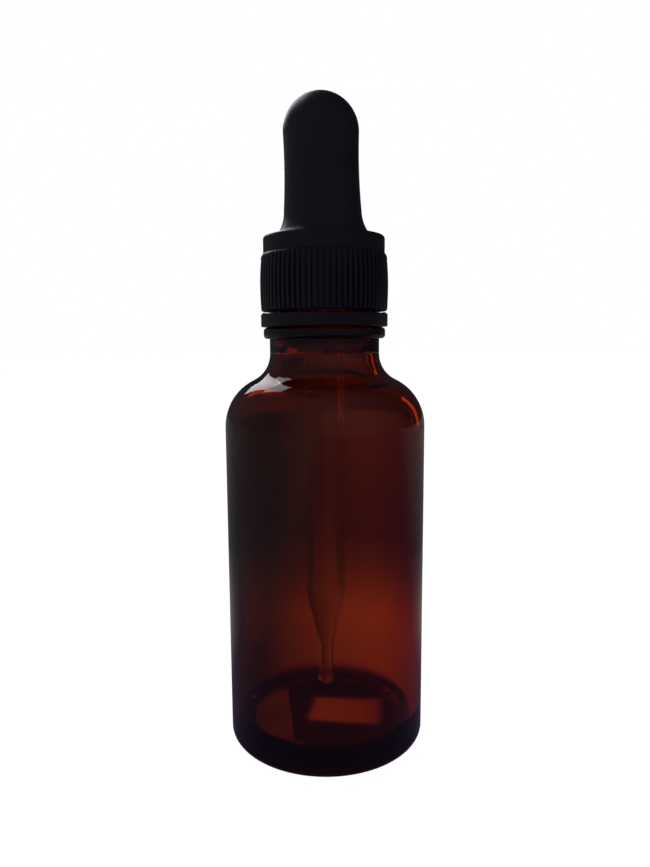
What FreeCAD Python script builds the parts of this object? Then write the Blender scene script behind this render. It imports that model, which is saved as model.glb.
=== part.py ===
import FreeCAD, Part
import math
import os
import re

import Sketcher

# A 30 ml round glass dropper bottle: the bottle, the tamper-evident ring under its cap,
# the ribbed screw collar, the rubber bulb and the glass pipette. Millimetres, +Z up, with
# the origin at the middle of the base that the bottle stands on.

SIZES = [
    # glass bottle
    ("body_dia", 33.0, "glass body, outside"),
    ("wall", 1.9, "glass wall of the body"),
    ("heel_radius", 1.3, "rounding between the base and the side"),
    ("foot_width", 2.8, "flat ring that the bottle stands on"),
    ("push_up", 1.1, "height of the hollow under the base"),
    ("rim_width", 0.5, "slope at the edge of that hollow, across"),
    ("rim_rise", 0.35, "height of that slope"),
    ("floor_height", 2.9, "inside floor above the table"),
    ("floor_radius", 2.6, "rounding inside, between floor and side"),
    ("side_top", 53.2, "where the straight side ends"),
    ("shoulder_radius", 8.4, "rounding of the shoulder"),
    ("neck_dia", 17.96, "neck below the support bead"),
    ("neck_radius", 4.8, "hollow rounding from the shoulder to the neck"),
    ("throat_dia", 14.2, "inside of the neck at the shoulder"),
    ("throat_radius", 6.2, "hollow rounding from the shoulder to the neck, inside"),
    ("bore_dia", 12.0, "bore of the neck"),
    ("bore_low", 68.4, "where the throat has narrowed to the bore"),
    ("bore_ease", 4.0, "rounding at both ends of that narrowing"),
    ("bead_low", 67.5, "underside of the support bead"),
    ("bead_high", 69.3, "top of the support bead"),
    ("bead_dia", 19.9, "support bead"),
    ("bead_edge", 0.55, "rounding of the support bead"),
    ("finish_dia", 15.8, "neck between the threads"),
    ("lip_height", 80.2, "rim of the bottle"),
    ("lip_edge", 0.5, "rounding of the rim"),
    ("catch_low", 70.6, "underside of the bead that holds the tamper ring"),
    ("catch_high", 71.5, "top of that bead"),
    ("catch_dia", 17.9, "that bead, outside"),
    ("catch_lean", 0.2, "how far that bead narrows to its top"),
    ("catch_slope", 0.5, "height of the slope above that bead"),
    # screw thread
    ("pitch", 3.0, "rise of the thread in one turn"),
    ("thread_dia", 17.4, "crest of the glass thread"),
    ("thread_start", 74.7, "height of the glass thread's middle where it starts"),
    ("thread_turns", 1.25, "turns of full glass thread"),
    ("thread_root", 1.5, "height of the glass thread at the neck"),
    ("thread_crest", 0.7, "height of the glass thread at its crest"),
    ("thread_bury", 0.15, "how far a thread's section reaches into its wall"),
    ("fade_turns", 0.125, "part of a turn in which a thread dies away"),
    ("fade_under", 0.05, "how far under the wall a thread's crest ends"),
    # tamper ring
    ("ring_low", 69.4, "underside of the tamper ring"),
    ("ring_height", 2.1, "height of the tamper ring"),
    ("ring_dia", 20.7, "tamper ring, outside"),
    ("ring_bore", 18.4, "tamper ring, inside, round the bead"),
    ("barb_bore", 16.5, "tamper ring's inner barb, under the bead"),
    ("barb_height", 1.0, "height of the barb at the wall"),
    ("barb_edge", 0.5, "height of the barb at its edge"),
    ("ring_edge", 0.2, "rounding of the tamper ring"),
    ("bridges", 8, "broken bridges left on the tamper ring"),
    ("bridge_width", 0.8, "width of a broken bridge"),
    ("bridge_depth", 0.6, "thickness of a broken bridge"),
    ("bridge_inset", 0.25, "a broken bridge's face, inside the ring's"),
    ("bridge_height", 0.22, "what is left of each bridge above the ring"),
    # screw collar
    ("collar_low", 71.9, "underside of the collar"),
    ("collar_height", 11.85, "height of the collar"),
    ("skirt_dia", 20.56, "collar over the ribs at its lower edge"),
    ("skirt_edge", 0.2, "bevel of the lower edge"),
    ("skirt_curve", 60.0, "bulge of the ribs up to their fullest"),
    ("rib_curve", 40.0, "bulge of the ribs above that"),
    ("rib_round", 1.0, "rounding of the ribs' upper ends"),
    ("rib_dia", 20.8, "collar over the ribs at their fullest"),
    ("rib_full", 4.6, "where the ribs are fullest, above the collar's edge"),
    ("rib_top_dia", 20.4, "collar over the ribs where they start to round off"),
    ("rib_shoulder", 8.1, "where the ribs start to round off"),
    ("rib_top", 9.1, "upper end of the ribs"),
    ("band_dia", 19.66, "plain band above the ribs"),
    ("band_edge", 0.45, "rounding of the collar's top edge"),
    ("rib_count", 72, "grooves between the ribs"),
    ("rib_depth", 0.2, "depth of a groove between the ribs"),
    ("rib_gap", 0.45, "spread of a groove between the ribs, past their crests"),
    ("collar_bore", 17.7, "collar, inside"),
    ("plate_low", 10.7, "underside of the collar's top plate, above its edge"),
    ("collar_hole", 10.8, "hole in the top plate"),
    ("hole_edge", 0.3, "rounding of that hole"),
    ("collar_crest", 16.3, "crest of the collar's thread"),
    ("collar_thread_root", 1.8, "height of the collar's thread at the wall"),
    ("collar_thread_crest", 1.1, "height of the collar's thread at its crest"),
    ("collar_turns", 1.5, "turns of full collar thread"),
    ("thread_lift", 0.245, "how far the collar's thread is above the middle of the gap"),
    # rubber bulb
    ("bulb_low", 80.25, "underside of the bulb's flange, on the rim of the bottle"),
    ("flange_dia", 16.8, "flange between the rim and the collar"),
    ("flange_height", 2.3, "thickness of the flange"),
    ("flange_edge", 0.4, "rounding of the flange"),
    ("waist_dia", 10.6, "waist in the collar's hole"),
    ("skirt_height", 3.55, "underside of the bulb's foot, above its flange's underside"),
    ("foot_dia", 14.8, "foot of the bulb on the collar"),
    ("foot_edge", 0.5, "height of the foot's outer edge"),
    ("foot_radius", 6.4, "hollow rounding from the foot up to the barrel"),
    ("barrel_low", 7.6, "start of the barrel"),
    ("barrel_low_dia", 12.5, "barrel where it starts"),
    ("barrel_radius", 100.0, "long hollow rounding of the barrel"),
    ("barrel_high", 19.67, "end of the barrel"),
    ("barrel_dia", 12.1, "barrel where the dome starts"),
    ("bulb_wall", 1.5, "rubber wall of the barrel and dome"),
    ("socket_dia", 6.64, "socket for the pipette"),
    ("socket_depth", 8.8, "depth of the socket"),
    ("socket_slope", 1.2, "height of the slope above the socket"),
    # glass pipette
    ("pipette_low", 8.0, "tip of the pipette above the table"),
    ("pipette_length", 80.8, "length of the pipette"),
    ("pipette_dia", 6.6, "pipette, outside"),
    ("pipette_bore", 5.0, "pipette, inside"),
    ("taper_low", 7.6, "start of the taper above the tip"),
    ("taper_high", 16.2, "end of the taper above the tip"),
    ("stem_dia", 2.5, "stem between the ball tip and the taper"),
    ("stem_bore", 1.2, "bore of the stem"),
    ("ball_dia", 2.9, "ball at the tip"),
    ("taper_ease", 9.0, "rounding at both ends of the taper"),
    ("rim_edge", 0.3, "rounding of the pipette's upper rim"),
    # every piece
    ("overrun", 1.0, "how far a hollow's section runs past the piece it is cut from"),
]

# What follows from the sizes: where arcs meet that run smoothly into each other, and
# the offset of each piece that stands on another.
DERIVED = [
    ("body_r", "body_dia / 2", "body radius"),
    ("neck_r", "neck_dia / 2", "neck radius"),
    ("inside_r", "body_r - wall", "inside radius of the body"),
    ("bore_r", "bore_dia / 2", "bore radius of the neck"),
    ("shoulder_x", "body_r - shoulder_radius", "radius of the shoulder's centre"),
    ("inner_shoulder", "shoulder_radius - wall", "rounding inside the shoulder"),
    ("neck_run", "neck_r + neck_radius - shoulder_x", "centre to centre, across"),
    ("neck_reach", "shoulder_radius + neck_radius", "centre to centre"),
    ("neck_rise", "sqrt(neck_reach^2 - neck_run^2)", "centre to centre, up"),
    ("neck_share", "shoulder_radius / neck_reach", "share of that on the shoulder"),
    ("throat_r", "throat_dia / 2", "throat radius"),
    ("throat_run", "throat_r + throat_radius - shoulder_x", "the same inside, across"),
    ("throat_reach", "inner_shoulder + throat_radius", "the same inside"),
    ("throat_rise", "sqrt(throat_reach^2 - throat_run^2)", "the same inside, up"),
    ("throat_share", "inner_shoulder / throat_reach", "share of that on the shoulder"),
    ("foot_r", "body_r - heel_radius", "outer edge of the foot"),
    ("hollow_r", "foot_r - foot_width", "edge of the hollow under the base"),
    ("vault_r", "hollow_r - rim_width", "edge of the hollow's vault"),
    ("vault_rise", "push_up - rim_rise", "height of the vault"),
    ("vault_radius", "(vault_r^2 + vault_rise^2) / (2 * vault_rise)", "curve of the vault"),
    ("glass_thread_out", "(thread_dia - finish_dia) / 2", "how far the glass thread stands out"),
    ("collar_thread_out", "(collar_bore - collar_crest) / 2", "how far the collar's stands in"),
    ("collar_thread_start", "thread_start - pitch / 2 + thread_lift - collar_low",
     "height of the collar's thread above its edge"),
    ("dome_r", "barrel_dia / 2", "radius of the dome"),
    ("ball_r", "ball_dia / 2", "radius of the ball tip"),
    ("ball_mid", "sqrt(ball_r^2 - (stem_bore / 2)^2)", "height of the ball's centre"),
    ("ball_top", "ball_mid + sqrt(ball_r^2 - (stem_dia / 2)^2)", "top of the ball"),
]

NAMES = {row[0] for row in SIZES + DERIVED}
SCRATCH_CELL = "E1"

doc = FreeCAD.newDocument("DropperBottle")
sizes = doc.addObject("Spreadsheet::Sheet", "Sizes")


def fill_sheet():
    """Writes every size and every derived size in a row of its own, under its name."""
    for row, (name, value, meaning) in enumerate(SIZES + DERIVED, start=1):
        sizes.set(f"A{row}", name)
        sizes.set(f"B{row}", f"={value}" if isinstance(value, str) else str(value))
        sizes.setAlias(f"B{row}", name)
        sizes.set(f"C{row}", meaning)
    doc.recompute()


def number(text):
    """What an expression in the sheet's names comes to."""
    sizes.set(SCRATCH_CELL, "=" + text)
    sizes.recompute()
    return float(sizes.get(SCRATCH_CELL))


def bind(thing, target, text):
    """Ties a property or constraint to an expression in the sheet's names."""
    full = re.sub(r"[a-z]\w*", lambda m: ("Sizes." if m.group() in NAMES else "") + m.group(), text)
    thing.setExpression(target, full)


def new_body(name, height="0"):
    """A body with its own label, standing at a height above the table."""
    body = doc.addObject("PartDesign::Body", name)
    body.Label = name
    if height != "0":
        bind(body, "Placement.Base.z", height)
    return body


def origin_plane(body, role):
    return next(f for f in body.Origin.OriginFeatures if f.Role == role)


def sketch_edge(start, end, radius):
    """A line, or an arc that bulges to the left (radius over 0) or to the right of the way
    from start to end. Returns it with the numbers of its start and end points."""
    if radius is None:
        return Part.LineSegment(start, end), 1, 2
    way = end - start
    left = FreeCAD.Vector(-way.y, way.x, 0).normalize()
    side = math.copysign(1, radius)
    offset = math.sqrt(radius**2 - way.Length**2 / 4)
    centre = (start + end) / 2 - left * side * offset
    circle = Part.Circle(centre, FreeCAD.Vector(0, 0, 1), abs(radius))
    first, last = (end, start) if side > 0 else (start, end)
    a, b = (math.atan2(p.y - centre.y, p.x - centre.x) for p in (first, last))
    arc = Part.ArcOfCircle(circle, a, b if b > a else b + 2 * math.pi)
    return (arc, 2, 1) if side > 0 else (arc, 1, 2)


def outline(body, role, name, corners):
    """A closed sketch through corners of (across, up) or (across, up, radius, side), each an
    expression. With a radius, an arc bulging to that side runs on to the next corner."""
    sketch = body.newObject("Sketcher::SketchObject", name)
    sketch.AttachmentSupport = (origin_plane(body, role), [""])
    sketch.MapMode = "FlatFace"
    points = [FreeCAD.Vector(number(c[0]), number(c[1]), 0) for c in corners]
    edges = []
    for k, corner in enumerate(corners):
        radius = None
        if len(corner) > 2:
            radius = number(corner[2]) * (1 if corner[3] == "left" else -1)
        edge, tail, head = sketch_edge(points[k], points[(k + 1) % len(points)], radius)
        edges.append((sketch.addGeometry(edge, False), tail, head))
    for k, corner in enumerate(corners):
        geo, tail, _ = edges[k]
        before, _, head = edges[k - 1]
        sketch.addConstraint(Sketcher.Constraint("Coincident", before, head, geo, tail))
        for text, kind, axis, at in (
            (corner[0], "DistanceX", -2, points[k].x),
            (corner[1], "DistanceY", -1, points[k].y),
        ):
            if text == "0":
                sketch.addConstraint(Sketcher.Constraint("PointOnObject", geo, tail, axis))
                continue
            index = sketch.addConstraint(Sketcher.Constraint(kind, -1, 1, geo, tail, at))
            bind(sketch, f"Constraints[{index}]", text)
        if len(corner) > 2:
            size = number(corner[2])
            index = sketch.addConstraint(Sketcher.Constraint("Radius", geo, size))
            bind(sketch, f"Constraints[{index}]", corner[2])
    doc.recompute()
    return sketch


def turned(body, name, corners, kind="Revolution"):
    """A section turned once round the upright axis: material, or a hollow as a Groove."""
    sketch = outline(body, "XZ_Plane", name + "Section", corners)
    feature = body.newObject("PartDesign::" + kind, name)
    feature.Profile = sketch
    feature.ReferenceAxis = (sketch, ["V_Axis"])
    feature.Angle = 360.0
    doc.recompute()
    return feature


def rounded(body, base, name, radius, rims):
    """Rounds the circular edges of a body at each (across, up)."""
    wanted = [(number(across), number(up)) for across, up in rims]
    found = []
    for k, edge in enumerate(base.Shape.Edges, start=1):
        if edge.Degenerated or not isinstance(edge.Curve, Part.Circle):
            continue
        here = (edge.Curve.Radius, edge.Curve.Center.z)
        if any(math.dist(here, rim) < 0.01 for rim in wanted):
            found.append(f"Edge{k}")
    if len(found) != len(wanted):
        raise ValueError(f"{name}: found {len(found)} of {len(wanted)} edges")
    feature = body.newObject("PartDesign::Fillet", name)
    feature.Base = (base, found)
    bind(feature, "Radius", radius)
    doc.recompute()
    return feature


def helix(body, name, corners):
    """A section beside the wall, ready to be swept up a helix. Returns the sweep and sketch."""
    section = outline(body, "XZ_Plane", name + "Section", corners)
    feature = body.newObject("PartDesign::AdditiveHelix", name)
    feature.Profile = section
    feature.ReferenceAxis = (section, ["V_Axis"])
    return feature, section


def fade(body, name, corners, growth):
    """A thread's end, which sinks into the wall as it goes on round the helix."""
    feature, section = helix(body, name, corners)
    feature.Mode = "height-turns-growth"
    bind(feature, "Height", "pitch * fade_turns")
    bind(feature, "Turns", "fade_turns")
    bind(feature, "Growth", f"({growth}) / fade_turns")
    return feature, section


def threaded(body, name, corners, turns, growth):
    """A thread: a section beside the wall, swept up the helix of the pitch, with both ends
    sunk into the wall by the growth in radius."""
    full, _ = helix(body, name, corners)
    full.Mode = "pitch-turns-angle"
    bind(full, "Pitch", "pitch")
    bind(full, "Turns", turns)
    doc.recompute()
    low, _ = fade(body, name + "Low", corners, growth)
    low.Reversed = True
    doc.recompute()
    _, section = fade(body, name + "High", corners, growth)
    turn = FreeCAD.Rotation(FreeCAD.Vector(0, 1, 0), 360 * number(turns))
    section.AttachmentOffset = FreeCAD.Placement(FreeCAD.Vector(0, 0, 0), turn)
    bind(section, "AttachmentOffset.Base.y", f"pitch * {turns}")
    doc.recompute()


def repeated(body, name, base, sketch, count):
    """A feature repeated round the upright axis."""
    feature = body.newObject("PartDesign::PolarPattern", name)
    feature.Originals = [base]
    feature.Axis = (sketch, ["N_Axis"])
    feature.Angle = 360.0
    bind(feature, "Occurrences", count)
    body.Tip = feature
    doc.recompute()
    return feature


def glass_bottle():
    body = new_body("glass_bottle")
    joint_x = "shoulder_x + neck_run * neck_share"
    joint_z = "side_top + neck_rise * neck_share"
    base = turned(body, "GlassOutside", [
        ("0", "push_up", "vault_radius", "left"),
        ("vault_r", "rim_rise"),
        ("hollow_r", "0"),
        ("foot_r", "0", "heel_radius", "right"),
        ("body_r", "heel_radius"),
        ("body_r", "side_top", "shoulder_radius", "right"),
        (joint_x, joint_z, "neck_radius", "left"),
        ("neck_r", "side_top + neck_rise"),
        ("neck_r", "bead_low"),
        ("bead_dia / 2", "bead_low"),
        ("bead_dia / 2", "bead_high"),
        ("finish_dia / 2", "bead_high"),
        ("finish_dia / 2", "catch_low"),
        ("catch_dia / 2", "catch_low"),
        ("catch_dia / 2 - catch_lean", "catch_high"),
        ("finish_dia / 2", "catch_high + catch_slope"),
        ("finish_dia / 2", "lip_height"),
        ("0", "lip_height"),
    ])
    inner_x = "shoulder_x + throat_run * throat_share"
    inner_z = "side_top + throat_rise * throat_share"
    hollow = turned(body, "GlassInside", [
        ("0", "floor_height"),
        ("inside_r - floor_radius", "floor_height", "floor_radius", "right"),
        ("inside_r", "floor_height + floor_radius"),
        ("inside_r", "side_top", "inner_shoulder", "right"),
        (inner_x, inner_z, "throat_radius", "left"),
        ("throat_r", "side_top + throat_rise"),
        ("bore_r", "bore_low"),
        ("bore_r", "lip_height + overrun"),
        ("0", "lip_height + overrun"),
    ], "Groove")
    throat = rounded(body, hollow, "ThroatEase", "bore_ease", [
        ("throat_r", "side_top + throat_rise"),
        ("bore_r", "bore_low"),
    ])
    bead = rounded(body, throat, "BeadEdges", "bead_edge", [
        ("bead_dia / 2", "bead_low"),
        ("bead_dia / 2", "bead_high"),
    ])
    rounded(body, bead, "LipEdges", "lip_edge", [
        ("finish_dia / 2", "lip_height"),
        ("bore_r", "lip_height"),
    ])
    threaded(body, "GlassThread", [
        ("finish_dia / 2 - thread_bury", "thread_start - thread_root / 2"),
        ("finish_dia / 2", "thread_start - thread_root / 2"),
        ("thread_dia / 2", "thread_start - thread_crest / 2"),
        ("thread_dia / 2", "thread_start + thread_crest / 2"),
        ("finish_dia / 2", "thread_start + thread_root / 2"),
        ("finish_dia / 2 - thread_bury", "thread_start + thread_root / 2"),
    ], "thread_turns", "-glass_thread_out - fade_under")
    return body


def tamper_ring():
    body = new_body("tamper_ring", "ring_low")
    ring = turned(body, "Ring", [
        ("barb_bore / 2", "0"),
        ("ring_dia / 2", "0"),
        ("ring_dia / 2", "ring_height"),
        ("ring_bore / 2", "ring_height"),
        ("ring_bore / 2", "barb_height"),
        ("barb_bore / 2", "barb_edge"),
    ])
    rounded(body, ring, "RingEdges", "ring_edge", [
        ("ring_dia / 2", "0"),
        ("ring_dia / 2", "ring_height"),
    ])
    sketch = outline(body, "XY_Plane", "BridgeSection", [
        ("ring_dia / 2 - bridge_inset - bridge_depth", "-bridge_width / 2"),
        ("ring_dia / 2 - bridge_inset", "-bridge_width / 2"),
        ("ring_dia / 2 - bridge_inset", "bridge_width / 2"),
        ("ring_dia / 2 - bridge_inset - bridge_depth", "bridge_width / 2"),
    ])
    bridge = body.newObject("PartDesign::Pad", "Bridge")
    bridge.Profile = sketch
    bind(bridge, "Length", "ring_height + bridge_height")
    doc.recompute()
    repeated(body, "Bridges", bridge, sketch, "bridges")
    return body


def screw_collar():
    body = new_body("screw_collar", "collar_low")
    outside = turned(body, "CollarOutside", [
        ("0", "0"),
        ("skirt_dia / 2 - skirt_edge", "0"),
        ("skirt_dia / 2", "skirt_edge", "skirt_curve", "right"),
        ("rib_dia / 2", "rib_full", "rib_curve", "right"),
        ("rib_top_dia / 2", "rib_shoulder", "rib_round", "right"),
        ("band_dia / 2", "rib_top"),
        ("band_dia / 2", "collar_height"),
        ("0", "collar_height"),
    ])
    hollow = turned(body, "CollarInside", [
        ("0", "-overrun"),
        ("collar_bore / 2", "-overrun"),
        ("collar_bore / 2", "plate_low"),
        ("collar_hole / 2", "plate_low"),
        ("collar_hole / 2", "collar_height + overrun"),
        ("0", "collar_height + overrun"),
    ], "Groove")
    top = rounded(body, hollow, "TopEdge", "band_edge", [("band_dia / 2", "collar_height")])
    rounded(body, top, "HoleEdge", "hole_edge", [("collar_hole / 2", "collar_height")])
    threaded(body, "CollarThread", [
        ("collar_bore / 2 + thread_bury", "collar_thread_start - collar_thread_root / 2"),
        ("collar_bore / 2", "collar_thread_start - collar_thread_root / 2"),
        ("collar_crest / 2", "collar_thread_start - collar_thread_crest / 2"),
        ("collar_crest / 2", "collar_thread_start + collar_thread_crest / 2"),
        ("collar_bore / 2", "collar_thread_start + collar_thread_root / 2"),
        ("collar_bore / 2 + thread_bury", "collar_thread_start + collar_thread_root / 2"),
    ], "collar_turns", "collar_thread_out + fade_under")
    sketch = outline(body, "XY_Plane", "RibGapSection", [
        ("rib_top_dia / 2 - rib_depth", "-rib_gap / 6"),
        ("rib_dia / 2 + overrun", "-rib_gap"),
        ("rib_dia / 2 + overrun", "rib_gap"),
        ("rib_top_dia / 2 - rib_depth", "rib_gap / 6"),
    ])
    gap = body.newObject("PartDesign::Pocket", "RibGap")
    gap.Profile = sketch
    gap.Reversed = True
    bind(gap, "Length", "rib_top")
    doc.recompute()
    repeated(body, "RibGaps", gap, sketch, "rib_count")
    return body


def rubber_bulb():
    body = new_body("rubber_bulb", "bulb_low")
    outside = turned(body, "BulbOutside", [
        ("0", "0"),
        ("flange_dia / 2", "0"),
        ("flange_dia / 2", "flange_height"),
        ("waist_dia / 2", "flange_height"),
        ("waist_dia / 2", "skirt_height"),
        ("foot_dia / 2", "skirt_height"),
        ("foot_dia / 2", "skirt_height + foot_edge", "foot_radius", "left"),
        ("barrel_low_dia / 2", "barrel_low", "barrel_radius", "left"),
        ("barrel_dia / 2", "barrel_high", "dome_r", "right"),
        ("0", "barrel_high + dome_r"),
    ])
    hollow = turned(body, "BulbInside", [
        ("0", "-overrun"),
        ("socket_dia / 2", "-overrun"),
        ("socket_dia / 2", "socket_depth"),
        ("dome_r - bulb_wall", "socket_depth + socket_slope"),
        ("dome_r - bulb_wall", "barrel_high", "dome_r - bulb_wall", "right"),
        ("0", "barrel_high + dome_r - bulb_wall"),
    ], "Groove")
    rounded(body, hollow, "FlangeEdges", "flange_edge", [
        ("flange_dia / 2", "0"),
        ("flange_dia / 2", "flange_height"),
    ])
    return body


def glass_pipette():
    body = new_body("glass_pipette", "pipette_low")
    tube = turned(body, "Tube", [
        ("stem_bore / 2", "0", "ball_r", "right"),
        ("stem_dia / 2", "ball_top"),
        ("stem_dia / 2", "taper_low"),
        ("pipette_dia / 2", "taper_high"),
        ("pipette_dia / 2", "pipette_length"),
        ("pipette_bore / 2", "pipette_length"),
        ("pipette_bore / 2", "taper_high"),
        ("stem_bore / 2", "taper_low"),
    ])
    ease = rounded(body, tube, "TaperEase", "taper_ease", [
        ("stem_dia / 2", "taper_low"),
        ("pipette_dia / 2", "taper_high"),
        ("pipette_bore / 2", "taper_high"),
        ("stem_bore / 2", "taper_low"),
    ])
    rounded(body, ease, "TopEdges", "rim_edge", [
        ("pipette_dia / 2", "pipette_length"),
        ("pipette_bore / 2", "pipette_length"),
    ])
    return body


fill_sheet()
bodies = [make() for make in (glass_bottle, tamper_ring, screw_collar, rubber_bulb, glass_pipette)]
doc.recompute()

for thing in doc.Objects:
    if "Invalid" in thing.State or "Error" in thing.State:
        raise RuntimeError(f"{thing.Label} failed: {thing.State}")
for body in bodies:
    shape = body.Shape
    if shape.isNull() or not shape.isValid() or len(shape.Solids) != 1:
        raise RuntimeError(f"{body.Label} isn't one valid solid")

os.makedirs("parts", exist_ok=True)
for body in bodies:
    body.Shape.exportStep(f"parts/{body.Label}.step")
    box = body.Shape.optimalBoundingBox()
    print(f"{body.Label}: {body.Shape.Volume:.1f} mm3, z {box.ZMin:.2f} to {box.ZMax:.2f}, "
          f"across {box.XLength:.2f} x {box.YLength:.2f}")
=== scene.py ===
import math

import bpy
from mathutils import Matrix, Vector


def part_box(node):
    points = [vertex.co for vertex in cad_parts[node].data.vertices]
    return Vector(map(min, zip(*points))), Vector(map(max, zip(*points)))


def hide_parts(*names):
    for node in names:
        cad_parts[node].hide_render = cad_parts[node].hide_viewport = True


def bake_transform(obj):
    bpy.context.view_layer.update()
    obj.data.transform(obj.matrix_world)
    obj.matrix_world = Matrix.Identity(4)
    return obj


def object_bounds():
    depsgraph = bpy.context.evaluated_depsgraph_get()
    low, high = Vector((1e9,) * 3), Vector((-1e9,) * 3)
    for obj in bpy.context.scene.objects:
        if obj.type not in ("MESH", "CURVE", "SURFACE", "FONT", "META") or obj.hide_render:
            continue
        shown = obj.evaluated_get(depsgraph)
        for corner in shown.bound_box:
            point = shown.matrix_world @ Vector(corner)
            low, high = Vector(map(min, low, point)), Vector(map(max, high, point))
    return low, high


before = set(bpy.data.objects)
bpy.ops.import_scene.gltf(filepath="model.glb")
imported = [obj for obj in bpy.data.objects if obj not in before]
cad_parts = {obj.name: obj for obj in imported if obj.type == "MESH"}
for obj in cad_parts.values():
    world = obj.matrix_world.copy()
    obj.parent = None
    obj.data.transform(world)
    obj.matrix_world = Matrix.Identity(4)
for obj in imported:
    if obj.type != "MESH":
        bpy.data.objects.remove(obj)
cad_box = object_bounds()

MM = 0.001


# ---------------------------------------------------------------- node helpers

def new_material(name):
    """An empty node material, with its node tree and output."""
    material = bpy.data.materials.new(name)
    material.use_nodes = True
    tree = material.node_tree
    tree.nodes.clear()
    return material, tree, tree.nodes.new("ShaderNodeOutputMaterial")


def add(tree, kind, inputs=None, **settings):
    """A node with its settings and inputs. An input that is another node's socket is linked."""
    node = tree.nodes.new(kind)
    for key, value in settings.items():
        setattr(node, key, value)
    for key, value in (inputs or {}).items():
        if isinstance(value, bpy.types.NodeSocket):
            tree.links.new(value, node.inputs[key])
        else:
            node.inputs[key].default_value = value
    return node


def noise(tree, scale, detail=4.0, rough=0.55, stretch=(1.0, 1.0, 1.0)):
    """Object-space noise, scale in features per metre, stretched along an axis if asked."""
    coords = add(tree, "ShaderNodeTexCoord").outputs["Object"]
    mapped = add(tree, "ShaderNodeMapping", {"Vector": coords, "Scale": stretch})
    return add(
        tree, "ShaderNodeTexNoise",
        {"Vector": mapped.outputs["Vector"], "Scale": scale, "Detail": detail, "Roughness": rough},
    ).outputs["Fac"]


def ramp(tree, fac, stops):
    """A colour ramp through (place, colour or grey)."""
    node = add(tree, "ShaderNodeValToRGB", {"Fac": fac})
    elements = node.color_ramp.elements
    while len(elements) < len(stops):
        elements.new(0.5)
    for element, (place, shade) in zip(elements, stops):
        element.position = place
        element.color = (*shade, 1.0) if isinstance(shade, tuple) else (shade, shade, shade, 1.0)
    return node.outputs["Color"]


def span(tree, value, start, end, low=0.0, high=1.0):
    """A value that goes from low to high, and no further, as another goes from start to end."""
    return add(tree, "ShaderNodeMapRange", {
        "Value": value, "From Min": start, "From Max": end, "To Min": low, "To Max": high,
    }).outputs["Result"]


def spread(tree, fac, low, high):
    """Noise, which is mostly between 0.25 and 0.75, spread over low..high."""
    return span(tree, fac, 0.25, 0.75, low, high)


def maths(tree, operation, first, second=0.0):
    """A sum of two values, or of one for an operation that takes one."""
    return add(tree, "ShaderNodeMath", {0: first, 1: second}, operation=operation).outputs["Value"]


def mix(tree, fac, first, second):
    """One colour at 0, going over to another at 1."""
    first, second = ((*c, 1.0) if isinstance(c, tuple) else c for c in (first, second))
    return add(
        tree, "ShaderNodeMix", {"Factor": fac, "A": first, "B": second}, data_type="RGBA",
    ).outputs["Result"]


def bumps(tree, *layers):
    """Bump layers one on the other, each (height, distance in metres, strength)."""
    normal = None
    for height, distance, strength in layers:
        inputs = {"Height": height, "Distance": distance, "Strength": strength}
        if normal is not None:
            inputs["Normal"] = normal
        normal = add(tree, "ShaderNodeBump", inputs).outputs["Normal"]
    return normal


# ---------------------------------------------------------------- materials

def tinted(tree, shader, output, colour, density):
    """Links a glass shader to the output, with glass inside it that takes up light."""
    tint = add(tree, "ShaderNodeVolumeAbsorption", {"Color": (*colour, 1.0), "Density": density})
    tree.links.new(shader.outputs["BSDF"], output.inputs["Surface"])
    tree.links.new(tint.outputs["Volume"], output.inputs["Volume"])


def amber_glass():
    """Brown glass with slow waves along its height, a fine grain and faint smears."""
    material, tree, output = new_material("amber_glass")
    waves = noise(tree, 55.0, 1.0, 0.4, (1.0, 1.0, 0.45))
    grain = noise(tree, 900.0, 3.0)
    smears = noise(tree, 130.0, 5.0, 0.6)
    shader = add(tree, "ShaderNodeBsdfPrincipled", {
        "Base Color": (1.0, 1.0, 1.0, 1.0),
        "Transmission Weight": 1.0,
        "IOR": 1.52,
        "Roughness": spread(tree, smears, 0.0, 0.035),
        "Normal": bumps(tree, (waves, 0.0004, 0.35), (grain, 0.00001, 0.1)),
    })
    tinted(tree, shader, output, (0.72, 0.39, 0.03), 1700.0)
    return material


def clear_glass():
    """Drawn tube, partly plain see-through so that it stays faint inside the bottle."""
    material, tree, output = new_material("clear_glass")
    waves = noise(tree, 160.0, 1.0, 0.4, (1.0, 1.0, 0.25))
    smears = noise(tree, 240.0, 4.0)
    shader = add(tree, "ShaderNodeBsdfPrincipled", {
        "Base Color": (1.0, 1.0, 1.0, 1.0),
        "Transmission Weight": 1.0,
        "IOR": 1.5,
        "Alpha": 0.72,
        "Roughness": spread(tree, smears, 0.0, 0.03),
        "Normal": bumps(tree, (waves, 0.0001, 0.25)),
    })
    tinted(tree, shader, output, (0.80, 0.92, 0.88), 60.0)
    return material


def black_plastic(name, roughness):
    """Moulded plastic with a fine grain, rubbed in streaks along its height."""
    material, tree, output = new_material(name)
    cloud = noise(tree, 210.0, 5.0, 0.6)
    grain = noise(tree, 6500.0, 2.0)
    rubbed = noise(tree, 700.0, 6.0, 0.7, (1.0, 1.0, 0.3))
    shader = add(tree, "ShaderNodeBsdfPrincipled", {
        "Base Color": ramp(tree, cloud, [
            (0.3, (0.013, 0.010, 0.017)), (0.72, (0.020, 0.016, 0.026)),
        ]),
        "IOR": 1.49,
        "Roughness": spread(tree, rubbed, roughness - 0.06, roughness + 0.08),
        "Normal": bumps(tree, (grain, 0.000012, 0.35), (rubbed, 0.00002, 0.15)),
    })
    tree.links.new(shader.outputs["BSDF"], output.inputs["Surface"])
    return material


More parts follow.
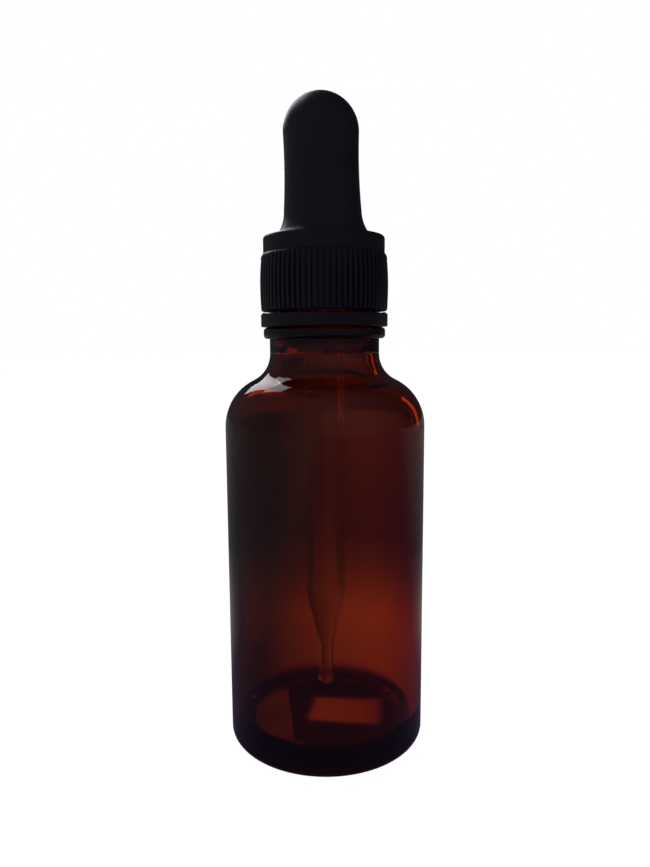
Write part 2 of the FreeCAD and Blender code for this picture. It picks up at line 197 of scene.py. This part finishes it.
def black_rubber():
    """Dull rubber with a slight orange peel, and dust that clings to it."""
    material, tree, output = new_material("black_rubber")
    cloud = noise(tree, 140.0, 5.0, 0.6)
    grain = noise(tree, 5200.0, 2.0)
    orange_peel = noise(tree, 900.0, 3.0)
    dust = ramp(tree, noise(tree, 2600.0, 2.0, 0.8), [(0.62, 0.0), (0.78, 1.0)])
    skin = ramp(tree, cloud, [(0.3, (0.020, 0.016, 0.026)), (0.72, (0.030, 0.025, 0.038))])
    shader = add(tree, "ShaderNodeBsdfPrincipled", {
        "Base Color": mix(tree, dust, skin, (0.050, 0.046, 0.055)),
        "IOR": 1.5,
        "Roughness": spread(tree, cloud, 0.32, 0.42),
        "Normal": bumps(tree, (orange_peel, 0.00003, 0.25), (grain, 0.00001, 0.3)),
    })
    tree.links.new(shader.outputs["BSDF"], output.inputs["Surface"])
    return material


def assign(thing, material):
    """Puts one material in every slot of an object."""
    if not thing.material_slots:
        thing.data.materials.append(material)
    for slot in thing.material_slots:
        slot.material = material


# ---------------------------------------------------------------- rubber bulb

# Sizes in millimetres. Heights are above the flange's underside.
FLANGE_R, FLANGE_TOP, FLANGE_EDGE = 8.4, 2.3, 0.4
GROOVE_R, GROOVE_EASE, GROOVE_TOP = 5.3, 0.2, 3.4
SKIRT_R, SKIRT_LOW, SKIRT_EDGE, SKIRT_LIP = 7.4, 3.55, 0.18, 0.12
SKIRT_LIP_RISE = 0.38
WAIST_START = (7.30, 4.07)
WAIST_CURVE = 6.4
BARREL_LOW, BARREL_LOW_R, BARREL_CURVE = 7.6, 6.25, 100.0
DOME_R = 6.05
WALL = 1.5
SOCKET_R, SOCKET_DEPTH, SOCKET_EASE, SOCKET_MOUTH = 3.32, 8.8, 1.2, 0.3
LEAN_LOW, LEAN, LEAN_CURVE = 3.6, -0.45, 0.6

bulb_low, bulb_top = (corner[2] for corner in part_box("rubber_bulb"))
barrel_high = (bulb_top - bulb_low) / MM - DOME_R


def arc(centre, radius, start, end, steps):
    """Points on an arc from one angle to another, in degrees, as (across, up)."""
    angles = [math.radians(start + (end - start) * k / steps) for k in range(steps + 1)]
    return [(centre[0] + radius * math.cos(a), centre[1] + radius * math.sin(a)) for a in angles]


def rise(low, high, radius, steps):
    """Points between two heights of a straight wall."""
    return [(radius, low + (high - low) * k / steps) for k in range(1, steps)]


def bend(start, end, radius, steps):
    """Points on an arc from start to end that bulges towards the axis as it rises."""
    across, up = end[0] - start[0], end[1] - start[1]
    length = math.hypot(across, up)
    reach = math.sqrt(radius**2 - length**2 / 4)
    centre = (
        (start[0] + end[0]) / 2 + up / length * reach,
        (start[1] + end[1]) / 2 - across / length * reach,
    )
    first = math.degrees(math.atan2(start[1] - centre[1], start[0] - centre[0])) % 360
    last = math.degrees(math.atan2(end[1] - centre[1], end[0] - centre[0])) % 360
    return arc(centre, radius, first, last, steps)


def bulb_outline():
    """The bulb's section: up the outside to the top of the dome, and down the inside to the
    socket's mouth."""
    outside = arc((FLANGE_R - FLANGE_EDGE, FLANGE_EDGE), FLANGE_EDGE, -90, 0, 6)
    outside += arc((FLANGE_R - FLANGE_EDGE, FLANGE_TOP - FLANGE_EDGE), FLANGE_EDGE, 0, 90, 6)
    outside += [
        (GROOVE_R + GROOVE_EASE, FLANGE_TOP), (GROOVE_R, FLANGE_TOP + GROOVE_EASE),
        (GROOVE_R, GROOVE_TOP), (GROOVE_R + GROOVE_EASE, SKIRT_LOW),
    ]
    outside += arc((SKIRT_R - SKIRT_EDGE, SKIRT_LOW + SKIRT_EDGE), SKIRT_EDGE, -90, 0, 5)
    outside += arc((SKIRT_R - SKIRT_LIP, SKIRT_LOW + SKIRT_LIP_RISE), SKIRT_LIP, 0, 70, 4)
    outside += bend(WAIST_START, (BARREL_LOW_R, BARREL_LOW), WAIST_CURVE, 16)[1:]
    outside += bend((BARREL_LOW_R, BARREL_LOW), (DOME_R, barrel_high), BARREL_CURVE, 30)[1:]
    outside += arc((0.0, barrel_high), DOME_R, 0, 90, 30)[1:-1]
    hollow_r = DOME_R - WALL
    hollow_low = SOCKET_DEPTH + SOCKET_EASE
    inside = arc((0.0, barrel_high), hollow_r, 90, 0, 24)[1:]
    inside += rise(barrel_high, hollow_low, hollow_r, 24)
    inside += [
        (hollow_r, hollow_low), (SOCKET_R, SOCKET_DEPTH),
        (SOCKET_R, SOCKET_MOUTH), (SOCKET_R + SOCKET_MOUTH, 0.0),
    ]
    return outside, inside


def turned_mesh(name, outline, low, segments=144):
    """A closed hollow piece of revolution, from its outside as listed from below and its inside
    as listed from above. Each has one more point on the axis, at the top of the dome."""
    outside, inside = outline
    vertices, faces = [], []

    def ring(point):
        first = len(vertices)
        for k in range(segments):
            a = 2 * math.pi * k / segments
            across = point[0] * MM
            vertices.append((across * math.cos(a), across * math.sin(a), low + point[1] * MM))
        return first

    def join(lower, upper):
        for k in range(segments):
            n = (k + 1) % segments
            faces.append((lower + k, lower + n, upper + n, upper + k))

    def cap(first, height, outward):
        pole = len(vertices)
        vertices.append((0.0, 0.0, low + height * MM))
        for k in range(segments):
            n = (k + 1) % segments
            faces.append((first + k, first + n, pole) if outward else (first + n, first + k, pole))

    rings = [ring(p) for p in outside]
    for lower, upper in zip(rings, rings[1:]):
        join(lower, upper)
    cap(rings[-1], barrel_high + DOME_R, True)
    inner = [ring(p) for p in inside]
    cap(inner[0], barrel_high + DOME_R - WALL, False)
    for lower, upper in zip(inner, inner[1:]):
        join(lower, upper)
    join(inner[-1], rings[0])
    mesh = bpy.data.meshes.new(name)
    mesh.from_pydata(vertices, [], faces)
    mesh.validate()
    mesh.shade_smooth()
    mesh.set_sharp_from_angle(angle=math.radians(40))
    piece = bpy.data.objects.new(name, mesh)
    bpy.context.collection.objects.link(piece)
    return piece


def lean(piece, low, high, shift):
    """Tips a soft piece sideways, more with height, and not at all below its foot."""
    for vertex in piece.data.vertices:
        share = max(0.0, (vertex.co.z - low) / (high - low))
        vertex.co.x += shift * share ** LEAN_CURVE


bulb = turned_mesh("rubber_bulb_skin", bulb_outline(), bulb_low)
lean(bulb, bulb_low + LEAN_LOW * MM, bulb_top, LEAN * MM)
assign(bulb, black_rubber())
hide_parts("rubber_bulb")
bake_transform(bulb)

for node, material in (
    ("glass_bottle", amber_glass()),
    ("glass_pipette", clear_glass()),
    ("screw_collar", black_plastic("collar_plastic", 0.36)),
    ("tamper_ring", black_plastic("ring_plastic", 0.34)),
):
    assign(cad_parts[node], material)


# ---------------------------------------------------------------- stage

# The camera sees a plain white room and floor. The object mirrors and shows a dimmer room and
# an unevenly lit floor, set apart by the kind of ray that meets them.

WHITE = (1.0, 1.0, 1.0)

# The room, as the object mirrors it: in front, behind, and to the left. As its glass shows it:
# at floor height, above that, and high up.
ROOM_FRONT, ROOM_BACK = (0.120, 0.108, 0.138), (0.026, 0.024, 0.030)
ROOM_LEFT = (0.110, 0.106, 0.122)
ROOM_LOW, ROOM_MIDDLE, ROOM_HIGH = (0.17, 0.16, 0.17), (0.20, 0.19, 0.20), (0.35, 0.35, 0.35)

# The floor as the glass shows it, by distance from the object's axis as a share of FLOOR_REACH: a
# painted shadow under the object, a painted pool of light round it, and dimmer further off.
FLOOR_REACH = 0.4
FLOOR_RINGS = [
    (0.040, (0.05, 0.045, 0.04)), (0.052, (0.76, 0.68, 0.60)), (0.130, (1.0, 0.90, 0.76)),
    (0.185, (0.58, 0.51, 0.45)), (0.225, (0.35, 0.31, 0.30)), (0.30, (0.18, 0.165, 0.18)),
    (0.9, (0.27, 0.25, 0.26)),
]
FLOOR_MIRRORED_FRONT, FLOOR_MIRRORED_LEFT = (0.115, 0.080, 0.165), (0.21, 0.21, 0.25)
FAN_START = 0.12  # how far in front of the axis the edges of the lit floor fan out from

# The spot of window light on the floor, in metres. Only the glass shows it.
SPOT_COLOUR = (0.90, 0.76, 0.62)
SPOT_SHIFT = (-0.0030, -0.0034, 0.0)
SPOT_TURN = math.radians(8)
SPOT_HALF = {"X": 0.0076, "Y": 0.0056}
SPOT_BLUR = 0.0022


def by_ray(tree, output, camera, mirrored, through):
    """Gives the output one shader for what the camera sees, one for what is mirrored and one
    for what shows through glass."""
    path = add(tree, "ShaderNodeLightPath")
    first = add(tree, "ShaderNodeMixShader", {"Fac": path.outputs["Is Transmission Ray"]})
    tree.links.new(mirrored.outputs[0], first.inputs[1])
    tree.links.new(through.outputs[0], first.inputs[2])
    second = add(tree, "ShaderNodeMixShader", {"Fac": path.outputs["Is Camera Ray"]})
    tree.links.new(first.outputs[0], second.inputs[1])
    tree.links.new(camera.outputs[0], second.inputs[2])
    tree.links.new(second.outputs[0], output.inputs["Surface"])


def backdrop_world():
    """White behind the object, and a dim room all round in what it mirrors and shows."""
    world = bpy.data.worlds.new("room")
    bpy.context.scene.world = world
    world.use_nodes = True
    tree = world.node_tree
    tree.nodes.clear()
    direction = add(tree, "ShaderNodeTexCoord").outputs["Generated"]
    way = add(tree, "ShaderNodeSeparateXYZ", {"Vector": direction})
    up, back = (span(tree, way.outputs[axis], -1.0, 1.0) for axis in ("Z", "Y"))
    left = span(tree, way.outputs["X"], -0.3, -0.95)
    front_to_back = ramp(tree, back, [(0.15, ROOM_FRONT), (0.70, ROOM_BACK)])
    low_to_high = ramp(tree, up, [(0.47, ROOM_LOW), (0.58, ROOM_MIDDLE), (0.8, ROOM_HIGH)])
    by_ray(
        tree, add(tree, "ShaderNodeOutputWorld"),
        add(tree, "ShaderNodeBackground", {"Color": (*WHITE, 1.0)}),
        add(tree, "ShaderNodeBackground", {"Color": mix(tree, left, front_to_back, ROOM_LEFT)}),
        add(tree, "ShaderNodeBackground", {"Color": low_to_high}),
    )


def window_spot(tree, coords):
    """How far a place on the floor is inside the spot of window light under the bottle, 0 to 1."""
    turned = add(tree, "ShaderNodeMapping", {
        "Vector": coords, "Location": SPOT_SHIFT, "Rotation": (0.0, 0.0, SPOT_TURN),
    }).outputs["Vector"]
    place = add(tree, "ShaderNodeSeparateXYZ", {"Vector": turned})
    masks = []
    for axis, half in SPOT_HALF.items():
        masks.append(add(tree, "ShaderNodeMapRange", {
            "Value": maths(tree, "ABSOLUTE", place.outputs[axis]),
            "From Min": half, "From Max": half - SPOT_BLUR,
        }, interpolation_type="SMOOTHSTEP").outputs["Result"])
    return maths(tree, "MULTIPLY", *masks)


def floor_light(tree, place, away):
    """How strongly the floor is lit in what the glass shows. It is dark under the object and
    close in front, and lit behind, more to the right than to the left. Further off it is lit
    all round."""
    behind = maths(tree, "ADD", place.outputs["Y"], FAN_START)
    side = span(tree, maths(tree, "DIVIDE", place.outputs["X"], behind), -0.12, 0.10, 0.13, 1.25)
    front = span(tree, place.outputs["Y"], -0.03, 0.015, 0.11, 1.0)
    far_off = span(tree, away, 0.05, 0.075)
    this_side = span(tree, place.outputs["Y"], 0.03, -0.02, 0.0, 1.2)
    return maths(
        tree, "MAXIMUM",
        maths(tree, "MULTIPLY", side, front), maths(tree, "MULTIPLY", far_off, this_side),
    )


def floor():
    """A floor that is pale and plain to the camera only. What the glass shows and mirrors of it is
    a floor lit unevenly."""
    bpy.ops.mesh.primitive_circle_add(vertices=96, radius=4.0, fill_type="NGON")
    ground = bpy.context.object
    ground.name = "floor"
    material, tree, output = new_material("floor")
    coords = add(tree, "ShaderNodeTexCoord").outputs["Object"]
    place = add(tree, "ShaderNodeSeparateXYZ", {"Vector": coords})
    away = add(tree, "ShaderNodeVectorMath", {0: coords}, operation="LENGTH").outputs["Value"]
    # painted shadow under the object and painted light round it, as the glass shows the floor
    rings = ramp(tree, span(tree, away, 0.0, FLOOR_REACH), FLOOR_RINGS)
    spot = window_spot(tree, coords)
    through = add(tree, "ShaderNodeEmission", {
        "Color": mix(tree, spot, rings, SPOT_COLOUR),
        "Strength": maths(tree, "MAXIMUM", floor_light(tree, place, away), spot),
    })
    left = span(tree, place.outputs["X"], -0.02, -0.10)
    near = mix(tree, left, FLOOR_MIRRORED_FRONT, FLOOR_MIRRORED_LEFT)
    far = span(tree, place.outputs["Y"], 0.015, 0.085)
    mirrored = add(tree, "ShaderNodeEmission", {
        "Color": mix(tree, far, near, rings), "Strength": 0.55,
    })
    glow = add(tree, "ShaderNodeEmission", {"Color": (*WHITE, 1.0), "Strength": 0.985})
    pale = add(tree, "ShaderNodeBsdfDiffuse", {"Color": (0.3, 0.3, 0.3, 1.0)})
    plain = add(tree, "ShaderNodeAddShader")
    tree.links.new(glow.outputs[0], plain.inputs[0])
    tree.links.new(pale.outputs[0], plain.inputs[1])
    by_ray(tree, output, plain, mirrored, through)
    ground.data.materials.append(material)


def softbox(name, place, size, power, colour, mirrored=True):
    """A rectangular soft light at a place, facing the middle of the object. One that isn't
    mirrored only shows through the glass and lights what is dull."""
    data = bpy.data.lights.new(name, "AREA")
    data.shape = "RECTANGLE"
    data.size, data.size_y = size
    data.energy = power
    data.color = colour
    lamp = bpy.data.objects.new(name, data)
    lamp.location = place
    middle = Vector((0.0, 0.0, (cad_box[0][2] + cad_box[1][2]) / 2))
    lamp.rotation_euler = (middle - lamp.location).to_track_quat("-Z", "Y").to_euler()
    lamp.visible_camera = False
    lamp.visible_glossy = mirrored
    bpy.context.collection.objects.link(lamp)


backdrop_world()
floor()
softbox("window_left", (-0.21, 0.52, 0.43), (0.34, 0.26), 0.70, (0.93, 0.96, 1.0))
softbox("skylight", (-0.27, 0.37, 0.62), (0.26, 0.20), 0.26, (0.93, 0.97, 1.0))
softbox("window_right", (0.40, 0.46, 0.16), (0.07, 0.30), 0.26, (1.0, 0.93, 0.85), mirrored=False)

camera = bpy.data.objects.new("camera", bpy.data.cameras.new("camera"))
bpy.context.collection.objects.link(camera)
camera.data.lens = 28.8
camera.data.sensor_width = 36.0
camera.data.clip_start = 0.005
CAMERA_PLACE = (0.0, -0.1153, 0.0671)
LOOK_DOWN = 7.59
PITCH = math.radians(90 - LOOK_DOWN)
ROLL = math.radians(-0.33)
camera.matrix_world = (
    Matrix.Translation(CAMERA_PLACE)
    @ Matrix.Rotation(PITCH, 4, "X")
    @ Matrix.Rotation(ROLL, 4, "Z")
)
bpy.context.scene.camera = camera
bpy.context.scene.view_settings.view_transform = "Standard"
bpy.context.scene.cycles.max_bounces = 24
bpy.context.scene.cycles.transmission_bounces = 24
